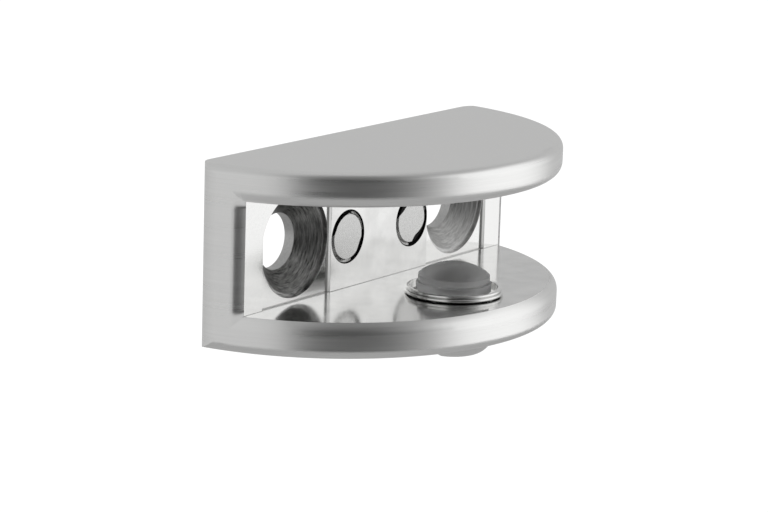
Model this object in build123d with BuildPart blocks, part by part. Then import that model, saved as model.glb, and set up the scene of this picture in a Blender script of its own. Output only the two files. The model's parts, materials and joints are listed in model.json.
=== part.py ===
from build123d import *
import os
from math import radians, tan

# Half-round clamp for the edge of a glass shelf or panel, screwed to a wall.
# The frame: X runs along the wall, the wall face of the body is at Y = 0, the glass side faces -Y, Z is up.
# The origin is on the wall face, midway between the two wall screws.
# All sizes are in millimetres.

os.makedirs("parts", exist_ok=True)

# Body outline, seen from above
overall_width = 44.4
overall_depth = 21.0
back_corner_radius = 2.0

# Body section, seen from the end
lower_lip = 3.4
upper_lip = 3.25
wall_thickness = 4.75
outer_edge_radius = 0.9
slot_edge_radius = 1.1

# Wall screw holes, sunk from the slot side; the slot is just high enough to let the screw heads in
hole_spacing = 26.0
hole_diameter = 5.4
seat_diameter = 10.0
seat_rim_depth = 0.35
seat_ledge = 0.4
seat_cone_angle = 90.0
seat_gap_below = 0.35
seat_gap_above = 0.2

# Round pockets in the wall face, behind the holes, that clear the collars of the wall plugs
plug_pocket_diameter = 11.0
plug_pocket_depth = 1.1

# Shallow upright channels that hold the screw seats
channel_depth = 0.3
channel_side_gap = 0.15

# Round marks that the ejector pins leave between the channels
mark_diameter = 5.2
mark_land = 0.05
mark_drop = 0.4
mark_groove_width = 0.45
mark_groove_depth = 0.22

# Clamping screw in the lower lip
screw_to_front = 7.5
thread_diameter = 8.0
running_clearance = 0.05
screw_stick_out = 2.3
screw_end_radius = 2.0
driver_slot_width = 1.2
driver_slot_depth = 1.1

# Cup on top of the screw
cup_overhang = 0.725
cup_lift = 0.1
cup_floor = 0.25
bead_height = 0.32
bead_reach = 0.16
bead_crest = 0.12
rim_step = 0.12
rim_wall = 0.4

# Soft pad in the cup
pad_rim_gap = 0.65
pad_foot_step = 0.15
pad_foot_height = 0.75
pad_groove = 0.12
pad_collar_height = 0.6
pad_dome_height = 1.15
spigot_diameter = 3.0
spigot_length = 1.6

# Heights and places that follow from the sizes above
slot_height = seat_gap_below + seat_diameter + seat_gap_above
lip_top = -seat_diameter / 2 - seat_gap_below
underside = lip_top - lower_lip
slot_top = lip_top + slot_height
overall_height = lower_lip + slot_height + upper_lip
channel_width = seat_diameter + 2 * channel_side_gap
channel_floor = wall_thickness - channel_depth
mark_x = hole_spacing / 2 - channel_width / 2 - mark_land - mark_diameter / 2
cone_top_radius = seat_diameter / 2 - seat_ledge
cone_depth = (cone_top_radius - hole_diameter / 2) / tan(radians(seat_cone_angle / 2))
screw_setback = overall_depth - screw_to_front
past = overall_depth
touching = 0.01

# The front arc is tangent to both corner arcs, and its depth and width are the overall ones
corner_centre_x = overall_width / 2 - back_corner_radius
arc_centre_y = (corner_centre_x**2 + back_corner_radius**2 - (overall_depth - back_corner_radius) ** 2) / (
    2 * (overall_depth - 2 * back_corner_radius)
)
arc_radius = overall_depth + arc_centre_y

# Body: one casting, a C in section
with BuildPart() as clamp_body:
    with BuildSketch(Plane.XY.offset(underside)) as half_round:
        with Locations((0, arc_centre_y)):
            Circle(arc_radius)
        Rectangle(2 * arc_radius, 2 * arc_radius, align=(Align.CENTER, Align.MAX), mode=Mode.INTERSECT)
    extrude(amount=overall_height)

    # The outer edges are rounded, but the wall face is ground flat afterwards and keeps its sharp edges
    level_faces = clamp_body.faces().filter_by(Axis.Z)
    fillet(level_faces.edges().filter_by(GeomType.CIRCLE), outer_edge_radius)

    # The same outline with rounded corners at the wall face
    with BuildSketch(Plane.XY.offset(underside)) as outline:
        with Locations((0, arc_centre_y)):
            Circle(arc_radius)
        Rectangle(2 * arc_radius, 2 * arc_radius, align=(Align.CENTER, Align.MAX), mode=Mode.INTERSECT)
        fillet(outline.vertices(), back_corner_radius)
    extrude(amount=overall_height, mode=Mode.INTERSECT)

    # The slot for the glass is open to the front and at both ends
    with BuildSketch(Plane.YZ) as slot:
        with Locations((-wall_thickness, lip_top)):
            Rectangle(past, slot_height, align=(Align.MAX, Align.MIN))
    extrude(amount=overall_width, both=True, mode=Mode.SUBTRACT)

    def on_slot_mouth(edge):
        # an edge of the slot that also lies on the curved outside
        middle = edge @ 0.5
        from_arc_centre = (middle.X**2 + (middle.Y - arc_centre_y) ** 2) ** 0.5
        on_outside = from_arc_centre > arc_radius - touching
        return on_outside and lip_top - touching < middle.Z < slot_top + touching

    fillet(clamp_body.edges().filter_by(on_slot_mouth), slot_edge_radius)

    for side in (-1, 1):
        hole_x = side * hole_spacing / 2

        # Upright channel over the full height of the slot
        with BuildSketch(Plane.XZ.offset(channel_floor)) as channel:
            with Locations((hole_x, lip_top)):
                Rectangle(channel_width, slot_height, align=(Align.CENTER, Align.MIN))
        extrude(amount=channel_depth, mode=Mode.SUBTRACT)

        # Screw seat: a short straight rim, a narrow ledge, the cone and the through hole
        with BuildSketch() as seat:
            with BuildLine():
                Polyline(
                    (hole_x, 0),
                    (hole_x + hole_diameter / 2, 0),
                    (hole_x + hole_diameter / 2, -channel_floor + seat_rim_depth + cone_depth),
                    (hole_x + cone_top_radius, -channel_floor + seat_rim_depth),
                    (hole_x + seat_diameter / 2, -channel_floor + seat_rim_depth),
                    (hole_x + seat_diameter / 2, -wall_thickness),
                    (hole_x, -wall_thickness),
                    close=True,
                )
            make_face()
        revolve(axis=Axis((hole_x, 0, 0), (0, 1, 0)), mode=Mode.SUBTRACT)

        # Pocket behind the hole
        with BuildSketch(Plane.XZ) as plug_pocket:
            with Locations((hole_x, 0)):
                Circle(plug_pocket_diameter / 2)
        extrude(amount=plug_pocket_depth, mode=Mode.SUBTRACT)

        # V groove round the ejector pin mark
        mark_edge = side * mark_x + mark_diameter / 2
        with BuildSketch(Plane.XY.offset(-mark_drop)) as mark:
            with BuildLine():
                Polyline(
                    (mark_edge, -wall_thickness),
                    (mark_edge - mark_groove_width / 2, -wall_thickness + mark_groove_depth),
                    (mark_edge - mark_groove_width, -wall_thickness),
                    close=True,
                )
            make_face()
        revolve(axis=Axis((side * mark_x, 0, -mark_drop), (0, 1, 0)), mode=Mode.SUBTRACT)

    # Tapped hole for the clamping screw
    with BuildSketch(Plane.XY.offset(underside)) as tapped_hole:
        with Locations((0, -screw_setback)):
            Circle(thread_diameter / 2)
    extrude(amount=lower_lip, mode=Mode.SUBTRACT)
clamp_body.part.label = "clamp_body"

# Clamping screw: a turned shank with a driver slot below and a beaded cup on top
screw_plane = Plane.XZ.offset(screw_setback)
screw_axis = Axis((0, -screw_setback, 0), (0, 0, 1))
shank_radius = thread_diameter / 2 - running_clearance
screw_end = underside - screw_stick_out
cup_under = lip_top + cup_lift
cup_floor_top = cup_under + cup_floor
bead_foot = thread_diameter / 2 + cup_overhang - bead_reach
bead_top = cup_under + bead_height
rim_foot = bead_foot - rim_step
rim_top = bead_top + bead_height
rim_inside = rim_foot + bead_reach - rim_wall
bead_slope = (bead_height - bead_crest) / 2
spigot_bore = spigot_diameter / 2 + running_clearance
bore_floor = cup_floor_top - spigot_length - 2 * running_clearance

with BuildPart() as clamp_screw:
    with BuildSketch(screw_plane) as screw_profile:
        with BuildLine():
            Line((0, bore_floor), (0, screw_end))
            Line((0, screw_end), (shank_radius - screw_end_radius, screw_end))
            TangentArc(
                (shank_radius - screw_end_radius, screw_end),
                (shank_radius, screw_end + screw_end_radius),
                tangent=(1, 0),
            )
            Line((shank_radius, screw_end + screw_end_radius), (shank_radius, cup_under))
            Line((shank_radius, cup_under), (bead_foot, cup_under))
            Polyline(
                (bead_foot, cup_under),
                (bead_foot + bead_reach, cup_under + bead_slope),
                (bead_foot + bead_reach, bead_top - bead_slope),
                (bead_foot, bead_top),
                (rim_foot, bead_top),
                (rim_foot + bead_reach, bead_top + bead_slope),
                (rim_foot + bead_reach, rim_top - bead_slope),
                (rim_foot, rim_top),
                (rim_inside, rim_top),
                (rim_inside, cup_floor_top),
                (spigot_bore, cup_floor_top),
                (spigot_bore, bore_floor),
                (0, bore_floor),
            )
        make_face()
    revolve(axis=screw_axis)

    # Slot for a screwdriver across the lower end
    with BuildSketch(Plane.XY.offset(screw_end)) as driver_slot:
        with Locations((0, -screw_setback)):
            Rectangle(2 * thread_diameter, driver_slot_width)
    extrude(amount=driver_slot_depth, mode=Mode.SUBTRACT)
clamp_screw.part.label = "clamp_screw"

# Clamp pad: a soft moulded button with a foot, a ring groove, a collar and a dome, held by its spigot
pad_under = cup_floor_top + running_clearance
foot_top = pad_under + pad_foot_height
collar_top = foot_top + pad_groove + pad_collar_height
dome_top = collar_top + pad_dome_height
foot_radius = rim_inside - pad_rim_gap
pad_radius = foot_radius - pad_foot_step
groove_radius = pad_radius - pad_groove

with BuildPart() as clamp_pad:
    with BuildSketch(screw_plane) as pad_profile:
        with BuildLine():
            Polyline(
                (0, dome_top),
                (0, cup_floor_top - spigot_length),
                (spigot_diameter / 2, cup_floor_top - spigot_length),
                (spigot_diameter / 2, pad_under),
                (foot_radius, pad_under),
                (foot_radius, foot_top),
                (groove_radius, foot_top),
                (groove_radius, foot_top + pad_groove),
                (pad_radius, foot_top + pad_groove),
                (pad_radius, collar_top),
            )
            dome_radius = (pad_radius**2 + pad_dome_height**2) / (2 * pad_dome_height)
            RadiusArc((pad_radius, collar_top), (0, dome_top), -dome_radius)
        make_face()
    revolve(axis=screw_axis)
clamp_pad.part.label = "clamp_pad"

export_step(clamp_body.part, "parts/clamp_body.step")
export_step(clamp_screw.part, "parts/clamp_screw.step")
export_step(clamp_pad.part, "parts/clamp_pad.step")
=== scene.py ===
# %% [markdown]
# # A clamp for a glass panel
# The clamp is screwed to a wall and holds the edge of a glass panel in its slot. It has three pieces:
# a zinc casting plated in satin nickel, a turned screw in its lower lip, and a soft grey pad that the
# screw lifts against the glass. The solids come in at their real size and place. They could be
# dressed by hand in Blender's window, but a script can be read, changed and run again. This one gives
# them their surfaces, a light and a camera.

# %% Load the solids
import json
import math

import bmesh
import bpy
from mathutils import Matrix, Vector


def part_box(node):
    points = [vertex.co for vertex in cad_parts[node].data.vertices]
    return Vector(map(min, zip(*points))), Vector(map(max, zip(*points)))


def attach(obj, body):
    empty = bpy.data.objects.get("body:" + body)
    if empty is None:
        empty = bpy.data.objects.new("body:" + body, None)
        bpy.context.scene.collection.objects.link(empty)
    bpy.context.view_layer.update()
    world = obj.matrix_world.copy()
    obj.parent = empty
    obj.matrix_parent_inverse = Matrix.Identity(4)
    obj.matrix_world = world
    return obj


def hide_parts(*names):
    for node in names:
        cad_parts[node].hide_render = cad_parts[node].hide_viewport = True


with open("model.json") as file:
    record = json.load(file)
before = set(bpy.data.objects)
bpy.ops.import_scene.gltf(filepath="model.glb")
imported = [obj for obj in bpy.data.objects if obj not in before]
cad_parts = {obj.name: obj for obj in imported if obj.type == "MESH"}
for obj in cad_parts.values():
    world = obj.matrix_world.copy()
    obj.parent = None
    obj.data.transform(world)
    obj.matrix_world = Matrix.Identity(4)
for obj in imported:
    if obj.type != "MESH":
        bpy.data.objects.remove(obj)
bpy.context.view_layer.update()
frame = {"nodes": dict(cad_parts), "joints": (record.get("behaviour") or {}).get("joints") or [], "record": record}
print("solids:", sorted(frame["nodes"]))

# %% [markdown]
# ## Sizes
# All sizes below are in millimetres, because that is how such a part is drawn, and Blender works in
# metres. Every size could be typed in, but the overall ones are measured on the solids. The front of
# the clamp is one arc that runs smoothly into a rounded corner at each end, so its radius follows
# from the width, the depth and the corners.

# %% Sizes of the casting
MM = 0.001
body_low, body_high = (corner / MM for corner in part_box("clamp_body"))
lower_lip = 3.4
upper_lip = 3.25
lip_top = body_low.z + lower_lip
slot_top = body_high.z - upper_lip

back_corner_radius = 2.0
corner_centre_x = body_high.x - back_corner_radius
depth = body_high.y - body_low.y
arc_centre_y = (corner_centre_x**2 + back_corner_radius**2 - (depth - back_corner_radius) ** 2) / (
    2 * (depth - 2 * back_corner_radius)
)
arc_radius = depth + arc_centre_y
print(f"front arc: radius {arc_radius:.2f} mm about y = {arc_centre_y:.2f} mm")

# %% [markdown]
# ## Helpers for materials
# A colour is given as an sRGB hex value, and the shader works with linear light, so one function
# turns the first into the second. Nodes could be wired by hand in the shader editor. Here one small
# function adds a node, sets its options and links its inputs in one call, so that each line below
# holds one thought. A third function starts an empty material.


# %% Colours and nodes
def linear(hex_colour):
    """An sRGB hex colour as linear red, green, blue and alpha."""
    parts = [int(hex_colour[i : i + 2], 16) / 255 for i in (1, 3, 5)]
    return (*[c / 12.92 if c <= 0.04045 else ((c + 0.055) / 1.055) ** 2.4 for c in parts], 1.0)


def add(tree, kind, inputs=None, **options):
    """Add a node with its options; an input is a number, a colour, a socket or a node's first output."""
    node = tree.nodes.new(kind)
    for name, value in options.items():
        setattr(node, name, value)
    for socket, value in (inputs or {}).items():
        if isinstance(value, bpy.types.Node):
            value = value.outputs[0]
        if isinstance(value, bpy.types.NodeSocket):
            tree.links.new(value, node.inputs[socket])
        else:
            node.inputs[socket].default_value = value
    return node


def new_material(name):
    """An empty node material and its output node."""
    material = bpy.data.materials.new(name)
    material.use_nodes = True
    material.node_tree.nodes.clear()
    return material, add(material.node_tree, "ShaderNodeOutputMaterial")


print(f"mid grey on the screen is {linear('#808080')[0]:.2f} of full light")

# %% [markdown]
# ## The casting
# The body is one zinc casting, but its skin differs by place. The outside was brushed along its curve
# and plated in satin nickel, so it mirrors the room in soft bands. The slot was only plated, so it is
# nearly a mirror. The screw seats were cut after casting and show rough rings. Each face could have
# a material of its own, but some finishes end in the middle of a face. One material can hold them all
# if it knows where it is, so its first nodes measure the place in millimetres.

# %% Where on the casting
casting, casting_output = new_material("zinc_cast_satin_nickel")
tree = casting.node_tree
place = add(tree, "ShaderNodeTexCoord").outputs["Object"]
millimetres = add(tree, "ShaderNodeVectorMath", {0: place, "Scale": 1 / MM}, operation="SCALE")
x, y, z = add(tree, "ShaderNodeSeparateXYZ", {0: millimetres}).outputs
facing = add(tree, "ShaderNodeNewGeometry").outputs["Normal"]
facing_up = add(tree, "ShaderNodeSeparateXYZ", {0: facing}).outputs["Z"]
level = add(tree, "ShaderNodeMath", {0: facing_up}, operation="ABSOLUTE")
print("material:", casting.name)

# %% [markdown]
# The finishes depend on how far a point is from the middle of the front arc, from a screw hole and
# from a mark that an ejector pin left on the wall. Holes and marks come in pairs, one on each side.
# Each could be measured by itself, but x without its sign folds the two sides together, so one
# measurement serves both.

# %% Distances on the casting
wall_screws = next(mount for mount in frame["record"]["mounts"] if mount["name"] == "wall_screws")
hole_x = wall_screws["dims"]["spacing_x_mm"] / 2
mark_x = 5.2
mark_drop = 0.4
arc_middle = (0, arc_centre_y, 0)
hole_middle = (hole_x, 0, 0)
mark_middle = (mark_x, 0, -mark_drop)

from_arc = add(tree, "ShaderNodeVectorMath", {0: millimetres, 1: arc_middle}, operation="SUBTRACT")
flat_from_arc = add(tree, "ShaderNodeVectorMath", {0: from_arc, 1: (1, 1, 0)}, operation="MULTIPLY")
arc_distance = add(tree, "ShaderNodeVectorMath", {0: flat_from_arc}, operation="LENGTH").outputs["Value"]

side_x = add(tree, "ShaderNodeMath", {0: x}, operation="ABSOLUTE")
folded = add(tree, "ShaderNodeCombineXYZ", {0: side_x, 1: 0.0, 2: z})
from_hole = add(tree, "ShaderNodeVectorMath", {0: folded, 1: hole_middle}, operation="SUBTRACT")
hole_distance = add(tree, "ShaderNodeVectorMath", {0: from_hole}, operation="LENGTH").outputs["Value"]
from_mark = add(tree, "ShaderNodeVectorMath", {0: folded, 1: mark_middle}, operation="SUBTRACT")
mark_distance = add(tree, "ShaderNodeVectorMath", {0: from_mark}, operation="LENGTH").outputs["Value"]
print(f"holes at x = {hole_x:.1f} mm and marks at x = {mark_x:.1f} mm, on both sides")

# %% [markdown]
# The slot has a flat wall and two lips, and its mouth is rounded where it meets the outside. Each
# screw seat lies in a shallow upright channel of the wall, with a small step along each side of it.
# These sizes could be measured on the mesh, but that would take longer to read than the numbers.

# %% Sizes in the slot
wall_thickness = 4.75
wall_front = -wall_thickness
plug_pocket_depth = 1.1
slot_edge_radius = 1.1
mouth_overlap = 0.3
seat_radius = 5.0
hole_radius = wall_screws["dims"]["hole_r_mm"]
channel_depth = 0.3
channel_side_gap = 0.15
channel_floor = wall_front + channel_depth
channel_half = seat_radius + channel_side_gap
mark_radius = 2.6
mouth_start = arc_radius - slot_edge_radius + mouth_overlap
print(f"slot: {slot_top - lip_top:.2f} mm high, channels {2 * channel_half:.1f} mm wide")

# %% [markdown]
# Each finish covers a region. Regions could be painted as masks, but limits on place and direction
# give edges that follow the drawing, so each region is a list of limits.

# %% Limits of the regions
room = 0.03  # keeps a limit from lying exactly on a face
nearly_level = 0.7
nearly_upright = 0.5
mark_border = 0.1
crease_width = 0.04

from_channel = add(tree, "ShaderNodeMath", {0: side_x, 1: hole_x}, operation="SUBTRACT")
from_channel = add(tree, "ShaderNodeMath", {0: from_channel}, operation="ABSOLUTE")
in_slot = [
    (z, "GREATER_THAN", lip_top - 2 * room),
    (z, "LESS_THAN", slot_top + 2 * room),
    (y, "LESS_THAN", -plug_pocket_depth - room),
    (arc_distance, "LESS_THAN", mouth_start),
]
in_seat = in_slot + [
    (hole_distance, "LESS_THAN", seat_radius + room),
    (y, "GREATER_THAN", channel_floor + room),
]
limits = {
    "level": [(level, "GREATER_THAN", nearly_level)],
    "slot": in_slot,
    "lip": in_slot + [(z, "LESS_THAN", lip_top + room), (facing_up, "GREATER_THAN", nearly_level)],
    "middle": in_slot
    + [(level, "LESS_THAN", nearly_upright), (side_x, "LESS_THAN", hole_x - channel_half)],
    "step": in_slot
    + [
        (y, "GREATER_THAN", wall_front + room),
        (y, "LESS_THAN", channel_floor + room),
        (from_channel, "GREATER_THAN", channel_half - room),
        (from_channel, "LESS_THAN", channel_half + room),
    ],
    "mark": in_slot + [(mark_distance, "LESS_THAN", mark_radius - mark_border)],
    "left_seat": in_seat + [(x, "LESS_THAN", 0.0)],
    "right_seat": in_seat + [(x, "GREATER_THAN", 0.0)],
    "hole": in_slot + [(hole_distance, "LESS_THAN", hole_radius + room)],
    "crease": in_slot
    + [(z, "LESS_THAN", lip_top + crease_width), (y, "GREATER_THAN", wall_front - crease_width)],
    "mouth": [
        (arc_distance, "GREATER_THAN", mouth_start),
        (z, "GREATER_THAN", lip_top - slot_edge_radius),
        (z, "LESS_THAN", slot_top + slot_edge_radius),
        (y, "LESS_THAN", wall_front + slot_edge_radius + room),
    ],
    "wall_end": [(y, "GREATER_THAN", wall_front - room)],
}
print("limits:", sum(len(tests) for tests in limits.values()), "in", len(limits), "lists")

# %% [markdown]
# A region is 1 where all its limits hold and 0 elsewhere. Each limit becomes a comparison node, and
# multiplying the comparisons gives the region. Written out, that would be a page of nodes, so a loop
# makes them.

# %% Regions of the casting
regions = {}
for name, tests in limits.items():
    region = None
    for socket, comparison, limit in tests:
        test = add(tree, "ShaderNodeMath", {0: socket, 1: limit}, operation=comparison)
        if region is not None:
            test = add(tree, "ShaderNodeMath", {0: region, 1: test}, operation="MULTIPLY")
        region = test
    regions[name] = region
print("regions:", ", ".join(regions))

# %% [markdown]
# Brushing leaves fine lines that run along the curve. They could be modelled as scratches, but a
# noise that is stretched along the arc and squeezed across it costs no faces. The real lines are
# about 0.05 mm apart, too fine for the picture, so they are drawn 0.2 mm apart.

# %% Brushed lines
line_spacing = 0.2
line_length = 12.0
noise_start = body_low.z - 1.0  # a little below the casting, so that the heights stay positive
noise_layer = 0.5

to_arc_centre = add(tree, "ShaderNodeVectorMath", {0: flat_from_arc, "Scale": -1.0}, operation="SCALE")
arc_x, arc_y, _ = add(tree, "ShaderNodeSeparateXYZ", {0: to_arc_centre}).outputs
arc_turn = add(tree, "ShaderNodeMath", {0: arc_x, 1: arc_y}, operation="ARCTAN2")
along = add(tree, "ShaderNodeMath", {0: arc_turn, 1: arc_radius / line_length}, operation="MULTIPLY")
above_start = add(tree, "ShaderNodeMath", {0: z, 1: noise_start}, operation="SUBTRACT")
across = add(tree, "ShaderNodeMath", {0: above_start, 1: 1 / line_spacing}, operation="MULTIPLY")
brush_place = add(tree, "ShaderNodeCombineXYZ", {0: along, 1: across, 2: noise_layer})
brushed = add(tree, "ShaderNodeTexNoise", {"Vector": brush_place, "Scale": 1.0, "Detail": 2.0})
print(f"brushed lines: {line_spacing} mm apart, {line_length} mm long")

# %% [markdown]
# The cutter that sank the screw seats left rings about 0.12 mm apart, torn into short streaks. They
# could be cut into the solid, but they are shallower than a hair. The stretched noise is bent round
# the hole instead, with more detail, because a cut surface is rougher than a brushed one.

# %% Turned rings
ring_spacing = 0.12
ring_length = 2.2

to_hole = add(tree, "ShaderNodeVectorMath", {0: from_hole, "Scale": -1.0}, operation="SCALE")
hole_across, _, hole_up = add(tree, "ShaderNodeSeparateXYZ", {0: to_hole}).outputs
hole_turn = add(tree, "ShaderNodeMath", {0: hole_up, 1: hole_across}, operation="ARCTAN2")
ring_along = add(
    tree, "ShaderNodeMath", {0: hole_turn, 1: seat_radius / ring_length}, operation="MULTIPLY"
)
ring_across = add(tree, "ShaderNodeMath", {0: hole_distance, 1: 1 / ring_spacing}, operation="MULTIPLY")
ring_place = add(tree, "ShaderNodeCombineXYZ", {0: ring_along, 1: ring_across, 2: x})
torn_metal = {"Scale": 1.0, "Detail": 5.0, "Roughness": 0.65}
turned = add(tree, "ShaderNodeTexNoise", {"Vector": ring_place, **torn_metal})
print(f"turned rings: {ring_spacing} mm apart, {ring_length} mm long")

# %% [markdown]
# The other finishes have no direction, so a plain noise serves each. The grain of satin plating is a
# few hundredths of a millimetre and is drawn 0.2 mm wide, because a finer one would not show. Plating
# over a raw casting isn't quite flat and ripples over about 3 mm. Soft patches a little wider than
# that make the edges of the pin marks uneven.

# %% Grain, ripple and patches
satin_grain = 0.2
ripple_width = 2.857
patch_width = 3.333

satin = add(
    tree, "ShaderNodeTexNoise", {"Vector": millimetres, "Scale": 1 / satin_grain, "Detail": 2.0}
)
uneven_plating = {"Scale": 1 / ripple_width, "Detail": 4.0, "Roughness": 0.55}
ripple = add(tree, "ShaderNodeTexNoise", {"Vector": millimetres, **uneven_plating})
patches = add(
    tree, "ShaderNodeTexNoise", {"Vector": millimetres, "Scale": 1 / patch_width, "Detail": 1.0}
)
print(f"grain {satin_grain} mm, ripple {ripple_width} mm, patches {patch_width} mm")

# %% [markdown]
# The ejector pins left flush discs on the wall. The gap round each disc is uneven, wide where the pin
# stood a little askew. The solid has an even groove, which alone would look drawn with a compass. So a
# slant across the disc and the soft patches move the inner edge of a near-black ring, which then
# swells and thins like the real gap. The ring is painted shadow: where it is wider than the real
# groove, it paints the shade of a deeper gap onto the flat disc.

# %% Painted shadow in the gaps round the ejector pin marks
mark_groove_width = 0.45
gap_shadow_narrow = 0.12
gap_shadow_wide = 2 * mark_groove_width
narrow_below, wide_above = 0.42, 0.72
pin_tilt = -0.5
slant = pin_tilt / mark_radius**2

side = add(tree, "ShaderNodeMath", {0: x}, operation="SIGN")
mark_across, _, mark_up = add(tree, "ShaderNodeSeparateXYZ", {0: from_mark}).outputs
askew = add(tree, "ShaderNodeMath", {0: mark_across, 1: mark_up}, operation="MULTIPLY")
askew = add(tree, "ShaderNodeMath", {0: askew, 1: side}, operation="MULTIPLY")
askew = add(tree, "ShaderNodeMath", {0: askew, 1: slant}, operation="MULTIPLY")
uneven = add(tree, "ShaderNodeMath", {0: askew, 1: patches}, operation="ADD")
gap_shadow_width = add(
    tree,
    "ShaderNodeMapRange",
    {0: uneven, 1: narrow_below, 2: wide_above, 3: gap_shadow_narrow, 4: gap_shadow_wide},
)
gap_shadow_inside = add(tree, "ShaderNodeMath", {0: mark_radius, 1: gap_shadow_width}, operation="SUBTRACT")
past_inside = add(tree, "ShaderNodeMath", {0: mark_distance, 1: gap_shadow_inside}, operation="GREATER_THAN")
before_outside = add(tree, "ShaderNodeMath", {0: mark_distance, 1: mark_radius}, operation="LESS_THAN")
gap_shadow = add(tree, "ShaderNodeMath", {0: past_inside, 1: before_outside}, operation="MULTIPLY")
regions["mark_gap"] = add(tree, "ShaderNodeMath", {0: gap_shadow, 1: regions["slot"]}, operation="MULTIPLY")
print(f"gaps round the marks: {gap_shadow_narrow} to {gap_shadow_wide} mm wide")

# %% [markdown]
# Each finish has a pattern, the height of its relief in millimetres, a range of roughness and two
# greys. Plated metal reflects most of the light, so its greys are light and the room does the rest.
# A roughness near 0.3 blurs the room into bands, as satin nickel does, and one near 0.12 keeps it
# almost a mirror. The cutter tore the seats, so they are rougher and darker. The left seat is painted
# much darker still than the right one, a painted shade, and the gaps round the pin marks are painted
# shadow in near black. A table keeps all this in one place, and each finish is laid over the ones
# before it.

# %% Finishes
finishes = [
    ("sides", brushed, 0.0004, (0.27, 0.33), ("#ebebea", "#f2f2f1")),
    ("level", satin, 0.0003, (0.30, 0.34), ("#eeeeed", "#f1f1f0")),
    ("slot", satin, 0.0003, (0.10, 0.15), ("#e8e8e7", "#ececeb")),
    ("middle", ripple, 0.0060, (0.12, 0.20), ("#e2e2e1", "#f6f6f5")),
    ("lip", ripple, 0.0060, (0.10, 0.18), ("#dededd", "#eeeeed")),
    ("step", ripple, 0.0010, (0.12, 0.20), ("#f2f2f1", "#fcfcfb")),
    ("mark", satin, 0.0015, (0.24, 0.32), ("#cacac9", "#dcdcdb")),
    # the left seat's dark greys are painted shade, on the same cut surface as the right seat
    ("left_seat", turned, 0.0220, (0.28, 0.45), ("#4a4a49", "#d8d8d7")),
    ("right_seat", turned, 0.0200, (0.35, 0.50), ("#b0b0af", "#eeeeed")),
    ("hole", satin, 0.0010, (0.28, 0.36), ("#b8b8b7", "#c8c8c7")),
    # painted shadow: a near-black ring in and beside the grooves round the pin marks
    ("mark_gap", satin, 0.0010, (0.50, 0.70), ("#060606", "#1a1a1a")),
    ("crease", satin, 0.0010, (0.30, 0.40), ("#c2c2c1", "#dadad9")),
]
noise_low, noise_high = 0.3, 0.7  # most values of a noise lie between these
height = rough = skin = None
for name, pattern, relief, (least_rough, most_rough), (darker, lighter) in finishes:
    spread = add(tree, "ShaderNodeMapRange", {0: pattern, 1: noise_low, 2: noise_high})
    here_height = add(tree, "ShaderNodeMath", {0: pattern, 1: relief}, operation="MULTIPLY")
    here_rough = add(tree, "ShaderNodeMapRange", {0: spread, 3: least_rough, 4: most_rough})
    greys = {6: linear(darker), 7: linear(lighter)}
    here_skin = add(tree, "ShaderNodeMix", {0: spread, **greys}, data_type="RGBA").outputs[2]
    if height is None:
        height, rough, skin = here_height.outputs[0], here_rough.outputs[0], here_skin
        continue
    here = regions[name]
    height = add(tree, "ShaderNodeMix", {0: here, 2: height, 3: here_height}).outputs[0]
    rough = add(tree, "ShaderNodeMix", {0: here, 2: rough, 3: here_rough}).outputs[0]
    skin = add(tree, "ShaderNodeMix", {0: here, 6: skin, 7: here_skin}, data_type="RGBA").outputs[2]
print("finishes:", len(finishes), "in", casting.name)

# %% [markdown]
# The edge of the slot's mouth was brushed together with the outside, so it takes the light much as
# the outside does. A larger rounding of the solid would do that, but it would also thin the lips.
# Instead the shading leans outward there. It leans most in the corners of the slot and next to the
# wall, and the lean fades away towards the outside.

# %% Soft edge of the slot's mouth
smooth = {"interpolation_type": "SMOOTHSTEP"}
before_corner, past_corner = 0.6, 0.2
straight_lean, corner_most_lean = 0.75, 14.0
lip_reach = 5.0
lip_least_lean, lip_most_lean = 0.9, 8.0

slot_middle = (lip_top + slot_top) / 2
corner_start = slot_top - slot_middle - before_corner
corner_end = slot_top - slot_middle + past_corner
from_middle = add(tree, "ShaderNodeMath", {0: z, 1: slot_middle}, operation="SUBTRACT")
from_middle = add(tree, "ShaderNodeMath", {0: from_middle}, operation="ABSOLUTE")
to_corner = {0: from_middle, 1: corner_start, 2: corner_end}
corner_leans = {3: straight_lean, 4: corner_most_lean}
corner_lean = add(tree, "ShaderNodeMapRange", {**to_corner, **corner_leans}, **smooth)
to_wall = {0: y, 1: wall_front - lip_reach, 2: wall_front}
lip_leans = {3: lip_least_lean, 4: lip_most_lean}
lip_lean = add(tree, "ShaderNodeMapRange", {**to_wall, **lip_leans}, **smooth)
mouth_lean = add(tree, "ShaderNodeMix", {0: regions["wall_end"], 2: lip_lean, 3: corner_lean})
to_outside = {0: arc_distance, 1: mouth_start, 2: arc_radius}
fading = add(tree, "ShaderNodeMapRange", {**to_outside, 3: 1.0, 4: 0.0})
lean = add(tree, "ShaderNodeMath", {0: mouth_lean, 1: fading}, operation="MULTIPLY")
lean = add(tree, "ShaderNodeMath", {0: lean, 1: regions["mouth"]}, operation="MULTIPLY")
outward = add(tree, "ShaderNodeVectorMath", {0: flat_from_arc}, operation="NORMALIZE")
leaning_out = add(tree, "ShaderNodeVectorMath", {0: outward, "Scale": lean}, operation="SCALE")
print(f"mouth: leans from {arc_radius - mouth_start:.2f} mm inside the front arc")

# %% [markdown]
# Three more places seem not quite true on the real casting. The wall between the channels turns a
# little to one side, the steps of the channels are rounded towards the front, and buffing softened
# the ends beside the slot. None of this would show in the outline, so the shading leans there too and
# the solid stays as it is.

# %% Small leans in and beside the slot
wall_turn = 0.105
step_rounding = -0.37
buffed_lean = -0.1
buffed_reach = 1.7 * slot_edge_radius

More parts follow.
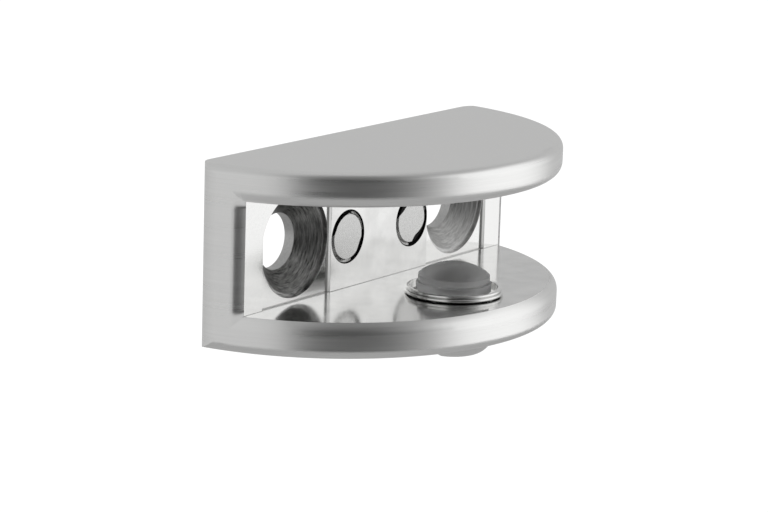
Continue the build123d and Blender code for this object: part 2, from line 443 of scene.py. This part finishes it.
wall_lean = add(tree, "ShaderNodeMath", {0: regions["middle"], 1: wall_turn}, operation="MULTIPLY")
step_lean = add(tree, "ShaderNodeMath", {0: regions["step"], 1: step_rounding}, operation="MULTIPLY")
to_edge = {0: y, 1: wall_front + buffed_reach, 2: wall_front + slot_edge_radius}
buffed = add(tree, "ShaderNodeMapRange", {**to_edge, 4: buffed_lean}, **smooth)
between_corners = add(tree, "ShaderNodeMapRange", {**to_corner, 3: 1.0, 4: 0.0}, **smooth)
outside = add(tree, "ShaderNodeMapRange", to_outside)
for share in (between_corners, regions["wall_end"], outside):
    buffed = add(tree, "ShaderNodeMath", {0: buffed, 1: share}, operation="MULTIPLY")
forward = add(tree, "ShaderNodeMath", {0: step_lean, 1: buffed}, operation="ADD")
small_leans = add(tree, "ShaderNodeCombineXYZ", {0: wall_lean, 1: forward})
print(f"small leans: wall {wall_turn}, steps {step_rounding}, ends {buffed_lean}")

# %% [markdown]
# Nickel on zinc is a metal to the eye, so the shader is fully metallic and keeps its default index of
# refraction. The leans are added to the true direction of the surface, and the flat lower lip faces
# straight up. The relief could be real geometry, but it is at most about two hundredths of a
# millimetre high, so a bump does.

# %% Plated zinc
leaning = add(tree, "ShaderNodeVectorMath", {0: leaning_out, 1: small_leans}, operation="ADD")
leaned = add(tree, "ShaderNodeVectorMath", {0: facing, 1: leaning}, operation="ADD")
leaned = add(tree, "ShaderNodeVectorMath", {0: leaned}, operation="NORMALIZE")
directions = {0: regions["lip"], 4: leaned, 5: (0, 0, 1)}
direction = add(tree, "ShaderNodeMix", directions, data_type="VECTOR").outputs[1]
bump = add(
    tree, "ShaderNodeBump", {"Height": height, "Distance": MM, "Strength": 1.0, "Normal": direction}
)
metal = add(
    tree,
    "ShaderNodeBsdfPrincipled",
    {"Base Color": skin, "Metallic": 1.0, "Roughness": rough, "Normal": bump},
)
tree.links.new(metal.outputs[0], casting_output.inputs["Surface"])
body = frame["nodes"]["clamp_body"]
body.data.materials[0] = casting
print("nodes in", casting.name + ":", len(tree.nodes))

# %% [markdown]
# ## The screw and the pad
# Both were made round an axis, one on a lathe and one in a round mould, so both are a profile turned
# about that axis. A Screw modifier could turn it. Here the rings are made directly, because a thread
# is cut into them afterwards, and each ring then closes without double points.


# %% Turn a profile
def turned_mesh(name, profile, segments):
    """A closed mesh of a profile of (radius, height) points that starts and ends on the screw's axis."""
    mesh = bmesh.new()
    rings = []
    for radius, height in profile:
        if radius == 0:
            rings.append([mesh.verts.new((0, screw_y * MM, height * MM))])
            continue
        turns = [2 * math.pi * i / segments for i in range(segments)]
        ring = [(radius * math.cos(t), screw_y + radius * math.sin(t), height) for t in turns]
        rings.append([mesh.verts.new(Vector(corner) * MM) for corner in ring])
    for lower, upper in zip(rings, rings[1:]):
        for i in range(segments):
            corners = [lower[i % len(lower)], lower[(i + 1) % len(lower)]]
            corners += [upper[(i + 1) % len(upper)], upper[i % len(upper)]]
            mesh.faces.new(list(dict.fromkeys(corners)))
    bmesh.ops.recalc_face_normals(mesh, faces=mesh.faces)
    data = bpy.data.meshes.new(name)
    mesh.to_mesh(data)
    mesh.free()
    piece = bpy.data.objects.new(name, data)
    bpy.context.scene.collection.objects.link(piece)
    return piece


screw_joint = next(joint for joint in frame["joints"] if joint["name"] == "screw_turn")
screw_y = screw_joint["pos_m"][1] / MM
print(f"turning axis at y = {screw_y:.2f} mm")

# %% [markdown]
# The screw has a rounded end below, a shank in the lip and a cup with two round beads on top. The
# cup's beads could be rings of their own, but they were turned from the same bar, so one profile
# holds them all. The shank gets many rings, because the thread needs them.


# %% Clamping screw
def arc(centre, radius, start, end, steps):
    """Points on an arc in the profile's plane, with angles in degrees from the radius direction."""
    turns = [math.radians(start + (end - start) * i / steps) for i in range(steps + 1)]
    return [(centre[0] + radius * math.cos(t), centre[1] + radius * math.sin(t)) for t in turns]


screw_low, screw_high = (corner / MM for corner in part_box("clamp_screw"))
segments = 128
shank_radius = 3.95
end_radius = 2.0
thread_pitch = 1.0
rings_per_pitch = 12
bead_radius = 0.16
bead_turn = 80
cup_lift = 0.1
cup_floor = 0.25
rim_step = 0.12
rim_wall = 0.4
spigot_bore = 1.55
bore_depth = 1.7

cup_under = lip_top + cup_lift
cup_floor_top = cup_under + cup_floor
bead_foot = screw_high.x - bead_radius
rim_foot = bead_foot - rim_step
rim_inside = rim_foot + bead_radius - rim_wall
bore_floor = cup_floor_top - bore_depth
thread_low = screw_low.z + end_radius
thread_length = cup_under - thread_low
thread_rings = round(thread_length / thread_pitch * rings_per_pitch)

screw_profile = [(0, screw_low.z)]
screw_profile += arc((shank_radius - end_radius, thread_low), end_radius, -90, 0, steps=16)
for i in range(1, thread_rings + 1):
    screw_profile += [(shank_radius, thread_low + thread_length * i / thread_rings)]
screw_profile += [(bead_foot, cup_under)]
lower_bead = (bead_foot, cup_under + bead_radius)
upper_bead = (rim_foot, cup_under + 3 * bead_radius)
screw_profile += arc(lower_bead, bead_radius, -bead_turn, bead_turn, steps=10)
screw_profile += arc(upper_bead, bead_radius, -bead_turn, 90, steps=10)
screw_profile += [(rim_inside, cup_under + 4 * bead_radius), (rim_inside, cup_floor_top)]
screw_profile += [(spigot_bore, cup_floor_top), (spigot_bore, bore_floor), (0, bore_floor)]
screw = turned_mesh("clamp_screw_turned", screw_profile, segments)
print("screw profile:", len(screw_profile), "points")

# %% [markdown]
# The shank carries a fine thread, and the solid leaves it plain. A helix could be swept and cut away,
# but that is slow and often leaves gaps in the mesh. Each point of the shank moves inward instead, by
# a V that climbs one pitch in each turn and runs out at both ends.

# %% Thread
thread_depth = 0.5
flank_slope = 2.4
for vertex in screw.data.vertices:
    across_x, across_y, height = vertex.co / MM
    across_y -= screw_y
    off_shank = abs(math.hypot(across_x, across_y) - shank_radius) > room
    if off_shank or not thread_low < height < cup_under - room:
        continue
    turn = math.atan2(across_y, across_x) / (2 * math.pi)
    phase = (height / thread_pitch - turn) % 1
    run_out = min(1, (height - thread_low) / thread_pitch, (cup_under - height) / thread_pitch)
    inward = thread_depth * run_out * min(1, flank_slope * abs(phase - 0.5))
    kept = 1 - inward / shank_radius
    vertex.co = Vector((across_x * kept, across_y * kept + screw_y, height)) * MM
print(f"thread: {thread_length / thread_pitch:.1f} turns, {thread_depth} mm deep")

# %% [markdown]
# A slot for a screwdriver crosses the rounded end. It could be built into the rings, but its straight
# sides cross many of them, so a Boolean modifier takes a box away from the turned shape.

# %% Driver slot
driver_slot_width = 1.2
driver_slot_depth = 1.1
cutter_mesh = bmesh.new()
bmesh.ops.create_cube(cutter_mesh, size=1)
cutter_size = Vector((3 * shank_radius, driver_slot_width, 2 * driver_slot_depth)) * MM
cutter_place = Vector((0, screw_y, screw_low.z)) * MM
bmesh.ops.scale(cutter_mesh, vec=cutter_size, verts=cutter_mesh.verts)
bmesh.ops.translate(cutter_mesh, vec=cutter_place, verts=cutter_mesh.verts)
cutter_data = bpy.data.meshes.new("driver_slot_cutter")
cutter_mesh.to_mesh(cutter_data)
cutter_mesh.free()
cutter = bpy.data.objects.new("driver_slot_cutter", cutter_data)
bpy.context.scene.collection.objects.link(cutter)
slot_cut = screw.modifiers.new("driver_slot", "BOOLEAN")
slot_cut.object = cutter
slot_cut.operation = "DIFFERENCE"
slot_cut.solver = "EXACT"
bpy.context.view_layer.update()
slotted = screw.evaluated_get(bpy.context.evaluated_depsgraph_get())
screw_data = bpy.data.meshes.new_from_object(slotted)
screw.modifiers.clear()
screw.data = screw_data
bpy.data.objects.remove(cutter)
print("screw with its slot:", len(screw.data.polygons), "faces")

# %% [markdown]
# Turned metal is smooth along its curves and crisp where two cuts meet. Flat faces would show the
# facets, and smooth shading alone would blur the edges. So the faces are smooth, and an edge is
# sharp where its faces meet at more than a given angle. The screw then rides on the moving body and
# takes the place of the plain solid.


# %% Smooth faces, sharp edges
def shade(piece, sharp_angle):
    """Smooth shading, with a crisp line where two faces meet at more than the angle in degrees."""
    mesh = bmesh.new()
    mesh.from_mesh(piece.data)
    for face in mesh.faces:
        face.smooth = True
    for edge in mesh.edges:
        edge.smooth = edge.calc_face_angle(0) < math.radians(sharp_angle)
    mesh.to_mesh(piece.data)
    mesh.free()


shade(screw, sharp_angle=28)
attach(screw, "screw")
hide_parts("clamp_screw")
print("sharp edges on the screw:", sum(edge.use_edge_sharp for edge in screw.data.edges))

# %% [markdown]
# The screw was turned from steel and then plated in bright nickel. Fine tool marks run round it, nine
# to a millimetre, so a noise squeezed along the axis makes faint rings. Wrapped rings would be truer,
# but on so small a piece nobody sees where a ring ends. A roughness near 0.1 lets the cup mirror the
# dark and the light sides of the room.

# %% Plated steel
tool_marks_per_mm = 9
tool_mark_length = 2.5
steel_relief = 0.004
marks_across = 1 / tool_mark_length / MM
steel_scale = (marks_across, marks_across, tool_marks_per_mm / MM)

plated_steel, steel_output = new_material("steel_turned_bright_nickel")
tree = plated_steel.node_tree
place = add(tree, "ShaderNodeTexCoord").outputs["Object"]
steel_place = add(tree, "ShaderNodeVectorMath", {0: place, 1: steel_scale}, operation="MULTIPLY")
tool_marks = add(tree, "ShaderNodeTexNoise", {"Vector": steel_place, "Scale": 1.0, "Detail": 2.0})
mark_range = {0: tool_marks, 1: noise_low, 2: noise_high}
steel_rough = add(tree, "ShaderNodeMapRange", {**mark_range, 3: 0.07, 4: 0.2})
steel_bump = add(
    tree, "ShaderNodeBump", {"Height": tool_marks, "Distance": steel_relief * MM, "Strength": 1.0}
)
steel_greys = {6: linear("#dededd"), 7: linear("#f6f6f5")}
steel_skin = add(tree, "ShaderNodeMix", {0: tool_marks, **steel_greys}, data_type="RGBA").outputs[2]
steel = add(
    tree,
    "ShaderNodeBsdfPrincipled",
    {"Base Color": steel_skin, "Metallic": 1.0, "Roughness": steel_rough, "Normal": steel_bump},
)
tree.links.new(steel.outputs[0], steel_output.inputs["Surface"])
screw.data.materials.clear()
screw.data.materials.append(plated_steel)
print("screw:", len(screw.data.polygons), "faces in", plated_steel.name)

# %% [markdown]
# The pad is a button from a round mould, with a foot, a ring groove, a collar and a dome that spreads
# the clamping force over the glass. A mould leaves no sharp edges. They could be bevelled later, but
# small arcs in the profile give the same edge with few faces. The hidden spigot below keeps the pad
# in the cup.

# %% Clamp pad
pad_low, pad_high = (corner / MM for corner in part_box("clamp_pad"))
spigot_radius = 1.5
foot_gap = 0.05
foot_height = 0.75
foot_step = 0.15
ring_groove = 0.12
collar_height = 0.6
soft_edge = 0.1
soft_edge_turn = 3

foot_radius = pad_high.x
pad_radius = foot_radius - foot_step
groove_radius = pad_radius - ring_groove
pad_under = cup_floor_top + foot_gap
foot_top = pad_under + foot_height
collar_foot = foot_top + ring_groove
collar_top = collar_foot + collar_height
dome_height = pad_high.z - collar_top
dome_radius = (pad_radius**2 + dome_height**2) / (2 * dome_height)
dome_half = math.degrees(math.asin(pad_radius / dome_radius))
dome_start = 90 - dome_half + soft_edge_turn
dome_centre = (0, pad_high.z - dome_radius)

pad_profile = [(0, pad_low.z), (spigot_radius, pad_low.z)]
pad_profile += [(spigot_radius, pad_under), (foot_radius, pad_under)]
pad_profile += arc((foot_radius - soft_edge, foot_top - soft_edge), soft_edge, 0, 90, steps=5)
pad_profile += [(groove_radius, foot_top), (groove_radius, collar_foot)]
pad_profile += arc((pad_radius - soft_edge, collar_foot + soft_edge), soft_edge, -90, 0, steps=5)
pad_profile += arc((pad_radius - soft_edge, collar_top - soft_edge), soft_edge, 0, 90, steps=5)
pad_profile += arc(dome_centre, dome_radius, dome_start, 90, steps=20)[:-1]
pad_profile += [(0, pad_high.z)]
pad = turned_mesh("clamp_pad_moulded", pad_profile, segments)
shade(pad, sharp_angle=40)
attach(pad, "pad")
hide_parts("clamp_pad")
print(f"pad: {len(pad.data.polygons)} faces, dome radius {dome_radius:.2f} mm")

# %% [markdown]
# Soft vinyl lets light through but blurs it, so the pad looks dark in the middle and paler at its
# rim. A plain grey would look painted. So most of the light passes a nearly clear skin, with the
# index of refraction of vinyl, and a thin smoke inside takes a little of it away. A turned mould
# leaves faint rings about 0.1 mm apart. They are drawn 0.67 mm apart, because finer ones wouldn't show.

# %% Soft vinyl
mould_mark_length = 3.333
mould_mark_height = 0.667
vinyl_relief = 0.0002
smoke_per_mm = 0.008
mould_marks_across = 1 / mould_mark_length / MM
mould_scale = (mould_marks_across, mould_marks_across, 1 / mould_mark_height / MM)

soft_vinyl, vinyl_output = new_material("soft_vinyl_moulded_grey")
tree = soft_vinyl.node_tree
place = add(tree, "ShaderNodeTexCoord").outputs["Object"]
mould_place = add(tree, "ShaderNodeVectorMath", {0: place, 1: mould_scale}, operation="MULTIPLY")
mould_marks = add(tree, "ShaderNodeTexNoise", {"Vector": mould_place, "Scale": 1.0, "Detail": 2.0})
mark_range = {0: mould_marks, 1: noise_low, 2: noise_high}
vinyl_rough = add(tree, "ShaderNodeMapRange", {**mark_range, 3: 0.38, 4: 0.44})
vinyl_bump = add(
    tree, "ShaderNodeBump", {"Height": mould_marks, "Distance": vinyl_relief * MM, "Strength": 1.0}
)
vinyl_greys = {6: linear("#f8f8f8"), 7: linear("#fefefe")}
vinyl_skin = add(tree, "ShaderNodeMix", {0: mould_marks, **vinyl_greys}, data_type="RGBA").outputs[2]
vinyl = add(
    tree,
    "ShaderNodeBsdfPrincipled",
    {
        "Base Color": vinyl_skin,
        "Roughness": vinyl_rough,
        "IOR": 1.53,
        "Transmission Weight": 0.85,
        "Normal": vinyl_bump,
    },
)
smoke = add(
    tree, "ShaderNodeVolumeAbsorption", {"Color": linear("#202020"), "Density": smoke_per_mm / MM}
)
tree.links.new(vinyl.outputs[0], vinyl_output.inputs["Surface"])
tree.links.new(smoke.outputs[0], vinyl_output.inputs["Volume"])
pad.data.materials.append(soft_vinyl)
print("pad in", soft_vinyl.name)

# %% [markdown]
# ## Light
# Polished metal shows the room more than itself, so the room is what has to be right. It has mid grey
# walls, one large soft box to the right, and the dark room behind the camera. Lamps could make it,
# but a metal also shows what lies between them, so a colour ramp on the compass angle draws the whole
# wall. Angles are in degrees, 0 is in front of the clamp and 90 is to the right.

# %% Studio walls
studio_walls = [
    (-180, "#bcbcbc"),
    (-95, "#cccccc"),
    (-76, "#d0d0d0"),
    (-66, "#6a6a6a"),
    (-58, "#464646"),
    (-30, "#464646"),
    (-17, "#686868"),
    (1, "#aaaaaa"),
    (13, "#ededed"),
    (22, "#ffffff"),
    (58, "#ffffff"),
    (72, "#e7e7e7"),
    (84, "#b3b3b3"),
    (110, "#bcbcbc"),
    (180, "#bcbcbc"),
]
world = bpy.data.worlds.new("studio")
bpy.context.scene.world = world
world.use_nodes = True
tree = world.node_tree
tree.nodes.clear()
toward = add(tree, "ShaderNodeTexCoord").outputs["Generated"]
toward_x, toward_y, toward_z = add(tree, "ShaderNodeSeparateXYZ", {0: toward}).outputs
toward_front = add(tree, "ShaderNodeMath", {0: toward_y, 1: -1.0}, operation="MULTIPLY")
compass = add(tree, "ShaderNodeMath", {0: toward_x, 1: toward_front}, operation="ARCTAN2")
compass_share = add(tree, "ShaderNodeMapRange", {0: compass, 1: -math.pi, 2: math.pi})
walls = add(tree, "ShaderNodeValToRGB", {0: compass_share})
stops = walls.color_ramp.elements
while len(stops) < len(studio_walls):
    stops.new(0.5)
for stop, (angle, grey) in zip(stops, studio_walls):
    stop.position = (angle + 180) / 360
for stop, (angle, grey) in zip(stops, studio_walls):
    stop.color = linear(grey)
print("studio walls:", len(stops), "greys around the compass")

# %% [markdown]
# The top of the clamp shows the ceiling. It is darker in front than behind, so a second mix takes over
# from the walls higher up. The camera itself could look at this room too, but a catalogue picture has
# a white ground, so the rays that come straight from the camera see plain white.

# %% Ceiling and background
front_to_back = {1: -0.3, 2: 0.1}
walls_to_ceiling = {1: 0.5, 2: 0.8}
ceiling_share = 0.75
studio_strength = 1.08
ceiling_greys = {6: linear("#787878"), 7: linear("#bcbcbc")}

behind = add(tree, "ShaderNodeMapRange", {0: toward_y, **front_to_back}, **smooth)
ceiling = add(tree, "ShaderNodeMix", {0: behind, **ceiling_greys}, data_type="RGBA").outputs[2]
rising = {0: toward_z, **walls_to_ceiling, 4: ceiling_share}
overhead = add(tree, "ShaderNodeMapRange", rising, **smooth)
around = add(tree, "ShaderNodeMix", {0: overhead, 6: walls, 7: ceiling}, data_type="RGBA").outputs[2]
seen = add(tree, "ShaderNodeLightPath").outputs["Is Camera Ray"]
white_ground = {0: seen, 6: around, 7: linear("#ffffff")}
shown = add(tree, "ShaderNodeMix", white_ground, data_type="RGBA").outputs[2]
studio_light = add(tree, "ShaderNodeBackground", {"Color": shown, "Strength": studio_strength})
add(tree, "ShaderNodeOutputWorld", {"Surface": studio_light})
print("studio strength:", studio_strength)

# %% [markdown]
# ## Floor
# The clamp hangs on a wall, so the floor is far below and only its pale reflection on the underside
# counts. A floor right below it would catch a shadow that a hanging part doesn't throw. The board is
# matt for the light in the scene and evenly lit for the camera, so it hardly stands out from the
# white ground. It belongs to the stage and not to the clamp.

# %% White board below
floor_drop = 280
floor_radius = 616
floor_mesh = bmesh.new()
bmesh.ops.create_circle(floor_mesh, cap_ends=True, segments=96, radius=floor_radius * MM)
floor_data = bpy.data.meshes.new("floor")
floor_mesh.to_mesh(floor_data)
floor_mesh.free()
floor = bpy.data.objects.new("floor", floor_data)
floor.location.z = -floor_drop * MM
bpy.context.scene.collection.objects.link(floor)
white_board, board_output = new_material("white_board")
tree = white_board.node_tree
seen = add(tree, "ShaderNodeLightPath").outputs["Is Camera Ray"]
board = add(tree, "ShaderNodeBsdfPrincipled", {"Base Color": linear("#e8e8e8"), "Roughness": 0.8})
lit_board = add(tree, "ShaderNodeEmission", {"Color": linear("#f6f6f6"), "Strength": 1.0})
shown = add(tree, "ShaderNodeMixShader", {0: seen, 1: board, 2: lit_board})
tree.links.new(shown.outputs[0], board_output.inputs["Surface"])
floor.data.materials.append(white_board)
print(f"floor: {floor_drop} mm below, {floor_radius} mm in radius")

# %% [markdown]
# ## Camera
# The picture was taken from the left and a little above, with a long lens from about 260 mm. A camera
# could be moved by eye until it fits. This one was worked out from points that can be found both in
# the picture and on the solids, so its numbers are not round. Its lens follows from the focal length
# in pixels.

# %% Camera
camera_azimuth = math.radians(-54.503)
camera_elevation = math.radians(12.657)
camera_roll = math.radians(1.797)
camera_distance = 260.626
camera_aim = Vector((-4.2155, -8.303, -1.8979))
picture_width = 768
focal_pixels = 2763.714

backward = Vector(
    (
        math.sin(camera_azimuth) * math.cos(camera_elevation),
        -math.cos(camera_azimuth) * math.cos(camera_elevation),
        math.sin(camera_elevation),
    )
)
camera_data = bpy.data.cameras.new("camera")
camera_data.sensor_width = 36
camera_data.lens = focal_pixels / picture_width * camera_data.sensor_width
camera_data.clip_start = 0.01
camera_data.clip_end = 10
camera = bpy.data.objects.new("camera", camera_data)
aimed = (-backward).to_track_quat("-Z", "Y").to_matrix().to_4x4()
camera.matrix_world = (
    Matrix.Translation((camera_aim + backward * camera_distance) * MM)
    @ aimed
    @ Matrix.Rotation(camera_roll, 4, "Z")
)
bpy.context.scene.collection.objects.link(camera)
bpy.context.scene.camera = camera
bpy.context.scene.view_settings.view_transform = "Standard"
print(f"camera: {camera_data.lens:.1f} mm lens on a {camera_data.sensor_width:.0f} mm sensor")
